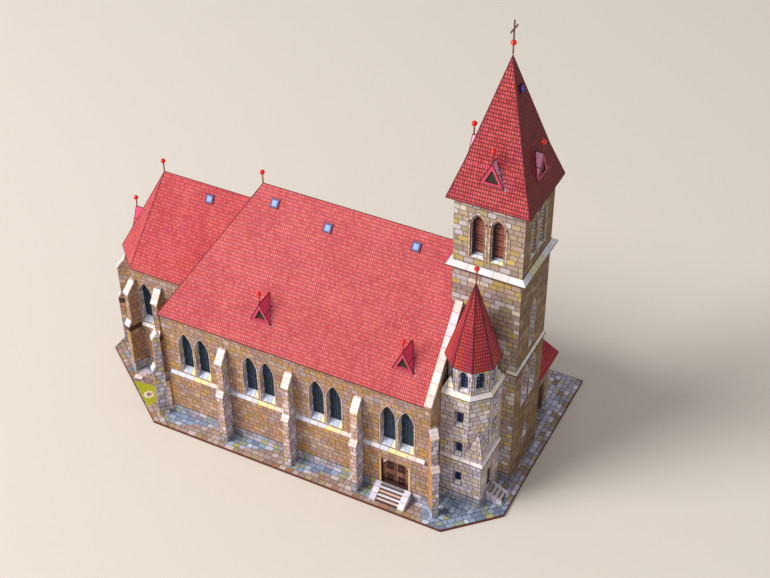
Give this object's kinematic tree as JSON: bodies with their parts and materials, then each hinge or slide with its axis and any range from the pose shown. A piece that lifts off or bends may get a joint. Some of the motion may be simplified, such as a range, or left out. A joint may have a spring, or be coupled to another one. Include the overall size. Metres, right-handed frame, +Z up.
{
  "type": "church building scale model",
  "caption": "Hollow scale model of a church: hipped nave, lower apsed choir, square west tower with spire, stair turret and lean-to porch, on a flat base plate.",
  "frame": {"origin": "middle of the base plate's underside", "axes": "+X from the choir towards the tower, +Y from the south front towards the north side, +Z up"},
  "size_m": [0.2996, 0.1606, 0.3075],
  "materials": {
    "printed_stone": "printed card, squared stones in grey, tan and ochre",
    "dressed_stone": "printed card, pale dressed stone",
    "roof_tiles": "printed card, red roof tiles",
    "printed_paving": "printed card on board, grey stone paving",
    "window_panes": "printed card, dark leaded panes",
    "door_boards": "printed card, dark brown boards with iron straps",
    "louvre_boards": "printed card, brown-red sloping boards",
    "pin_plastic": "glossy red pin heads"
  },
  "bodies": {
    "root": {"base_plate": "printed_paving", "belfry_louvres": "louvre_boards", "choir_glass": "window_panes", "choir_roof": "roof_tiles", "choir_wall": "printed_stone", "nave_east_wall_north": "printed_stone", "nave_east_wall_south": "printed_stone", "nave_north_glass": "window_panes", "nave_north_wall": "printed_stone", "nave_roof": "roof_tiles", "nave_south_glass": "window_panes", "nave_south_wall": "printed_stone", "north_buttress_1": "printed_stone", "north_buttress_2": "printed_stone", "north_buttress_3": "printed_stone", "north_east_corner_buttress": "printed_stone", "north_west_corner_buttress": "printed_stone", "porch_door": "door_boards", "porch_north_wall": "printed_stone", "porch_roof": "roof_tiles", "porch_west_wall": "printed_stone", "south_buttress_1": "printed_stone", "south_buttress_2": "printed_stone", "south_buttress_3": "printed_stone", "south_door": "door_boards", "south_east_corner_buttress": "printed_stone", "south_steps": "dressed_stone", "south_west_corner_buttress": "printed_stone", "tower_belt": "dressed_stone", "tower_east_wall": "printed_stone", "tower_finial": "pin_plastic", "tower_north_wall": "printed_stone", "tower_roof": "roof_tiles", "tower_south_wall": "printed_stone", "tower_west_glass": "window_panes", "tower_west_wall": "printed_stone", "turret_corner_wall": "printed_stone", "turret_cornice": "dressed_stone", "turret_door": "door_boards", "turret_lantern": "printed_stone", "turret_lantern_glass": "window_panes", "turret_roof": "roof_tiles", "turret_south_wall": "printed_stone", "turret_stair_glass": "window_panes", "turret_steps": "dressed_stone", "turret_west_wall": "printed_stone", "west_gable_north": "printed_stone", "west_gable_south": "printed_stone"}
  },
  "joints": []
}
